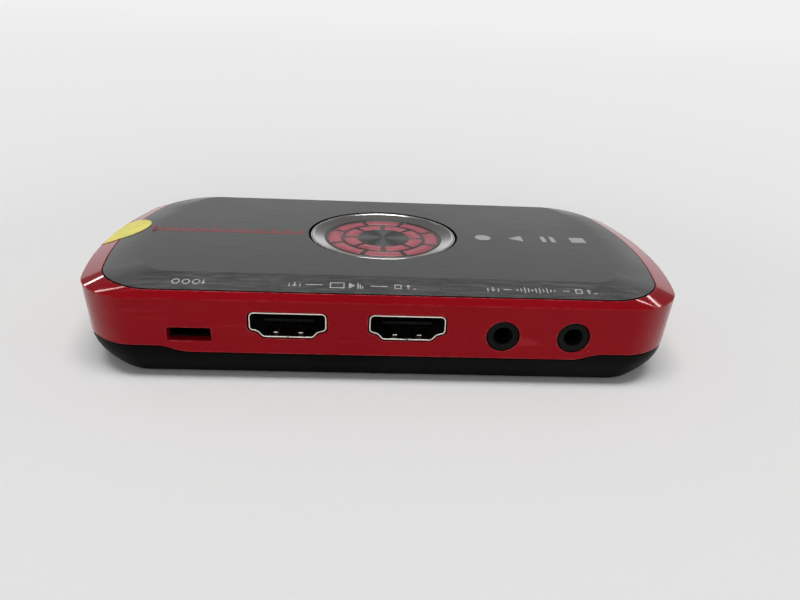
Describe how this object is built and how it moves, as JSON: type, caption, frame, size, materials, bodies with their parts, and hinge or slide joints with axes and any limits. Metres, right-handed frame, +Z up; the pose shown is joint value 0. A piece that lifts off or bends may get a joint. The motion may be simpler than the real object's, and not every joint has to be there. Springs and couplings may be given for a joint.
{
  "type": "video capture box",
  "caption": "Flat rounded desktop box with a glossy red shell, brushed dark top plate, large round push button and a row of video and audio sockets on one long side.",
  "frame": {"origin": "on the surface the feet stand on, below the middle of the case", "axes": "+X along the socket side to the right as seen from the sockets, +Y from the socket side to the rear side, +Z up"},
  "size_m": [0.124, 0.067, 0.02],
  "materials": {
    "red_gloss": "gloss red plastic",
    "black_satin": "satin black plastic",
    "plate_metal": "hairline brushed, dark grey",
    "tape": "adhesive tape",
    "foot_rubber": "matt rubber",
    "screw_steel": "blackened steel",
    "ring_chrome": "polished",
    "inlay_metal": "spun",
    "guide_red": "translucent red",
    "black_plastic": "matt black plastic",
    "socket_nickel": "nickel plated sheet",
    "contact_gold": "gold flash",
    "lamp_white": "white",
    "board_green": "solder mask",
    "chip_black": "moulding compound",
    "pad_grey": "thermal pad",
    "spreader_alu": "extruded",
    "ferrite": "ferrite",
    "can_alu": "drawn can",
    "ceramic_tan": "ceramic"
  },
  "bodies": {
    "case": {"top_shell": "red_gloss", "base_shell": "black_satin", "top_plate": "plate_metal", "plate_adhesive": "tape", "rubber_feet": "foot_rubber", "case_screws": "screw_steel", "tact_switch_body": "black_plastic", "status_leds": "lamp_white", "video_in_shell": "socket_nickel", "video_in_insert": "black_plastic", "video_in_contacts": "contact_gold", "video_out_shell": "socket_nickel", "video_out_insert": "black_plastic", "video_out_contacts": "contact_gold", "av_in_shell": "socket_nickel", "av_in_insert": "black_plastic", "av_in_contacts": "contact_gold", "audio_in_jack": "black_plastic", "audio_in_terminals": "socket_nickel", "audio_out_jack": "black_plastic", "audio_out_terminals": "socket_nickel", "data_shell": "socket_nickel", "data_insert": "black_plastic", "data_contacts": "contact_gold", "card_socket_base": "black_plastic", "card_socket_cover": "socket_nickel", "card_socket_contacts": "contact_gold", "mode_switch_body": "socket_nickel", "main_board": "board_green", "board_screws": "screw_steel", "encoder_chip": "chip_black", "thermal_pad": "pad_grey", "heat_spreader": "spreader_alu", "receiver_chip": "chip_black", "transmitter_chip": "chip_black", "audio_chip": "chip_black", "memory_chips": "chip_black", "flash_chip": "chip_black", "power_inductors": "ferrite", "filter_capacitors": "can_alu", "crystal_cans": "can_alu", "chip_capacitors": "ceramic_tan"},
    "button": {"button_ring": "ring_chrome", "button_inlay": "inlay_metal", "button_light_guide": "guide_red", "button_carrier": "black_plastic"},
    "tact_plunger": {"tact_switch_plunger": "lamp_white"},
    "mode_knob": {"mode_switch_knob": "black_plastic"}
  },
  "joints": [
    {"name": "button_press", "type": "slide", "parent": "case", "child": "button", "axis": [0, 0, -1], "range_m": [0, 0.0004], "stiffness_N_per_m": 3000},
    {"name": "tact_plunger_press", "type": "slide", "parent": "case", "child": "tact_plunger", "axis": [0, 0, -1], "range_m": [0, 0.0004]},
    {"name": "mode_switch_slide", "type": "slide", "parent": "case", "child": "mode_knob", "axis": [1, 0, 0], "range_m": [-0.002, 0.002]}
  ],
  "couplings": [
    {"joint": "tact_plunger_press", "follows": "button_press", "ratio": 1}
  ]
}
